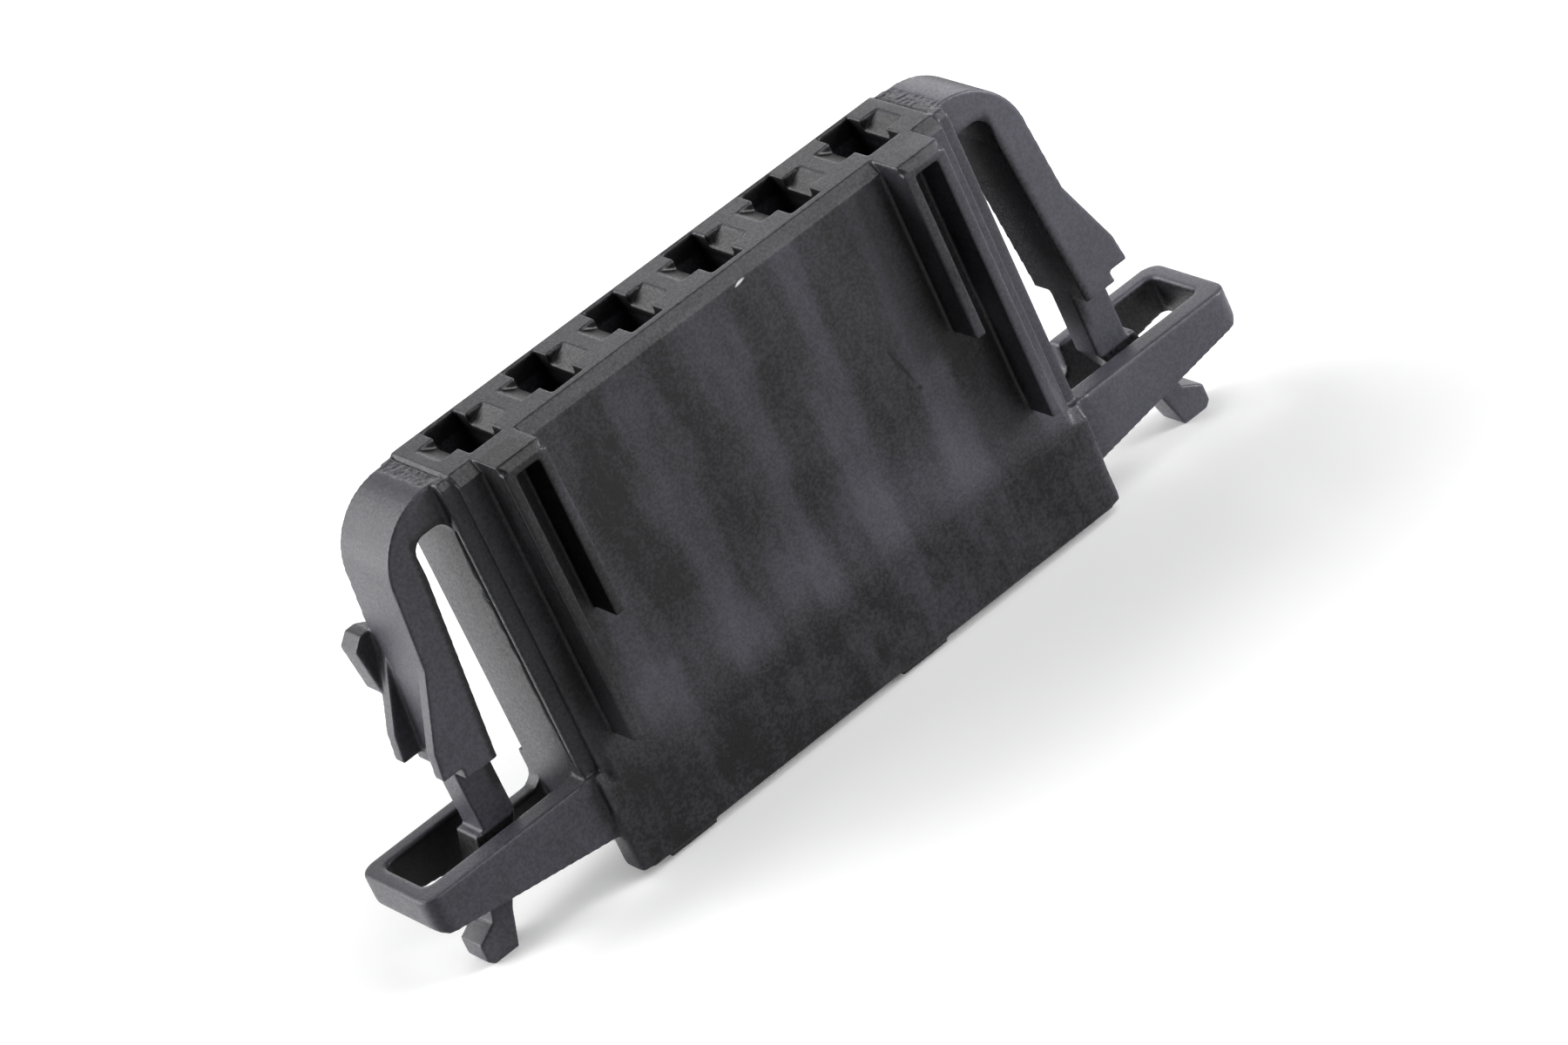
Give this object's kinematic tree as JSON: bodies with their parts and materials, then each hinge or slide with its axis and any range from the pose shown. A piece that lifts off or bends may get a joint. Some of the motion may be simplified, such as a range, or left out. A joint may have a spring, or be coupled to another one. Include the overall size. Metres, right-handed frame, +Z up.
{
  "type": "connector housing",
  "caption": "Black plug housing with a row of empty terminal cavities, bent latch arms with grip fins and hooks, guide ribs on the front and guard loops at the ends.",
  "frame": {"origin": "on the resting plane of the hooks and the rear skirt, below the middle of the terminal row", "axes": "+X along the row, -Y out of the front with the guide ribs, +Z up from the mating side to the wire side"},
  "size_m": [0.052, 0.0089, 0.0236],
  "materials": {
    "black_plastic": "fine matte, as moulded"
  },
  "bodies": {
    "root": {"housing": "black_plastic"}
  },
  "joints": []
}
